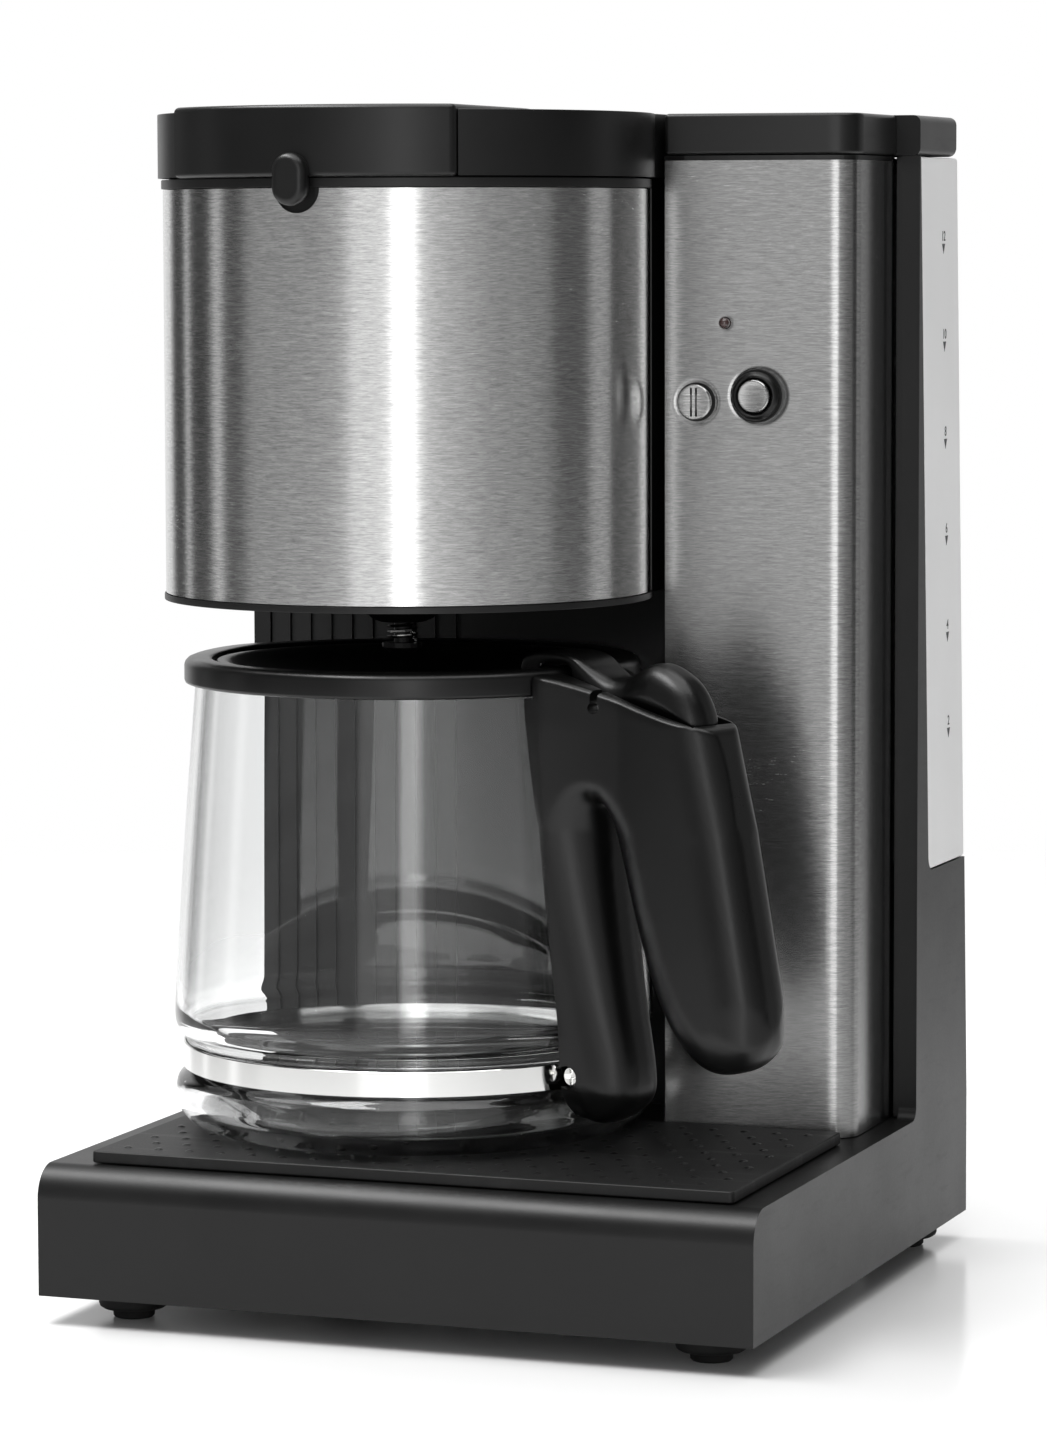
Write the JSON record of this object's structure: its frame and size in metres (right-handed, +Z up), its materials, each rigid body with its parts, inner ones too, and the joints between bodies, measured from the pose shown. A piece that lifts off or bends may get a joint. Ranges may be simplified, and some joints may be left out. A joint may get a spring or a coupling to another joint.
{
  "type": "drip coffee maker",
  "caption": "Drip coffee maker with brushed-steel drum and tower, side water gauge, flip-up lid, warming plate and glass carafe with hook handle.",
  "frame": {"origin": "on the floor under the middle of the base", "axes": "+Z up, +Y to the back of the machine, +X to its right as seen from the front"},
  "size_m": [0.23, 0.2314, 0.3715],
  "materials": {
    "satin_black": "satin moulded plastic",
    "plate_coating": "matt coated metal",
    "foot_rubber": "matt rubber",
    "heater_aluminium": "drawn",
    "silicone": "soft satin",
    "brushed_steel": "brushed",
    "polished_steel": "polished",
    "tank_plastic": "translucent",
    "lamp_red": "clear lens",
    "board_green": "coated board",
    "clear_glass": "clear"
  },
  "bodies": {
    "machine": {"base_shell": "satin_black", "bottom_cover": "satin_black", "side_panel_left": "satin_black", "side_panel_right": "satin_black", "warming_plate": "plate_coating", "foot_front_left": "foot_rubber", "foot_front_right": "foot_rubber", "foot_rear_left": "foot_rubber", "foot_rear_right": "foot_rubber", "heater_tube": "heater_aluminium", "thermostat": "heater_aluminium", "riser_tube": "silicone", "inlet_valve": "silicone", "inlet_hose": "silicone", "steel_panel": "brushed_steel", "tower_shell": "satin_black", "rear_housing": "satin_black", "back_cover": "satin_black", "cord_gland": "foot_rubber", "tank_window": "tank_plastic", "water_tank": "tank_plastic", "tower_lid": "satin_black", "head_cover": "satin_black", "head_lid_pin": "polished_steel", "tank_lid_pin": "polished_steel", "button_bezel": "satin_black", "switch_block": "satin_black", "selector_block": "satin_black", "lamp_lens": "lamp_red", "circuit_board": "board_green", "head_housing": "satin_black", "drum_frame": "satin_black", "drum_steel": "brushed_steel"},
    "head_lid": {"head_lid": "satin_black", "spray_head": "satin_black"},
    "tank_lid": {"tank_lid": "satin_black"},
    "power_button": {"power_button": "brushed_steel"},
    "selector_knob": {"selector_knob": "brushed_steel"},
    "filter_basket": {"filter_basket": "satin_black", "drip_spring": "polished_steel"},
    "drip_stop": {"drip_stop": "satin_black"},
    "carafe": {"carafe_glass": "clear_glass", "carafe_collar": "satin_black", "carafe_handle": "satin_black", "carafe_lid_pin": "polished_steel", "strap_screw": "polished_steel", "carafe_strap": "polished_steel"},
    "carafe_lid": {"carafe_lid": "satin_black"}
  },
  "joints": [
    {"name": "head_lid_hinge", "type": "hinge", "parent": "machine", "child": "head_lid", "pos_m": [-0.0345, 0.02325, 0.3674], "axis": [-1, 0, 0], "range_deg": [0, 95]},
    {"name": "tank_lid_hinge", "type": "hinge", "parent": "machine", "child": "tank_lid", "pos_m": [0.0885, 0.09655, 0.3605], "axis": [-1, 0, 0], "range_deg": [0, 95]},
    {"name": "power_button_push", "type": "slide", "parent": "machine", "child": "power_button", "axis": [0, 1, 0], "range_m": [0, 0.002], "stiffness_N_per_m": 400},
    {"name": "selector_knob_turn", "type": "hinge", "parent": "machine", "child": "selector_knob", "pos_m": [0.057, 0.00445, 0.2805], "axis": [0, -1, 0], "range_deg": [-45, 45]},
    {"name": "filter_basket_lift", "type": "slide", "parent": "machine", "child": "filter_basket", "axis": [0, 0, 1], "range_m": [0, 0.014]},
    {"name": "drip_stop_lift", "type": "slide", "parent": "filter_basket", "child": "drip_stop", "axis": [0, 0, 1], "range_m": [0, 0.003], "stiffness_N_per_m": 200, "deforming": ["drip_spring"]},
    {"name": "carafe_draw_out", "type": "slide", "parent": "machine", "child": "carafe", "axis": [0, -1, 0], "range_m": [0, 0.25]},
    {"name": "carafe_lid_hinge", "type": "hinge", "parent": "carafe", "child": "carafe_lid", "pos_m": [0.05488, -0.056, 0.1907], "axis": [0.3665, 0.9304, 0], "range_deg": [0, 5]}
  ]
}
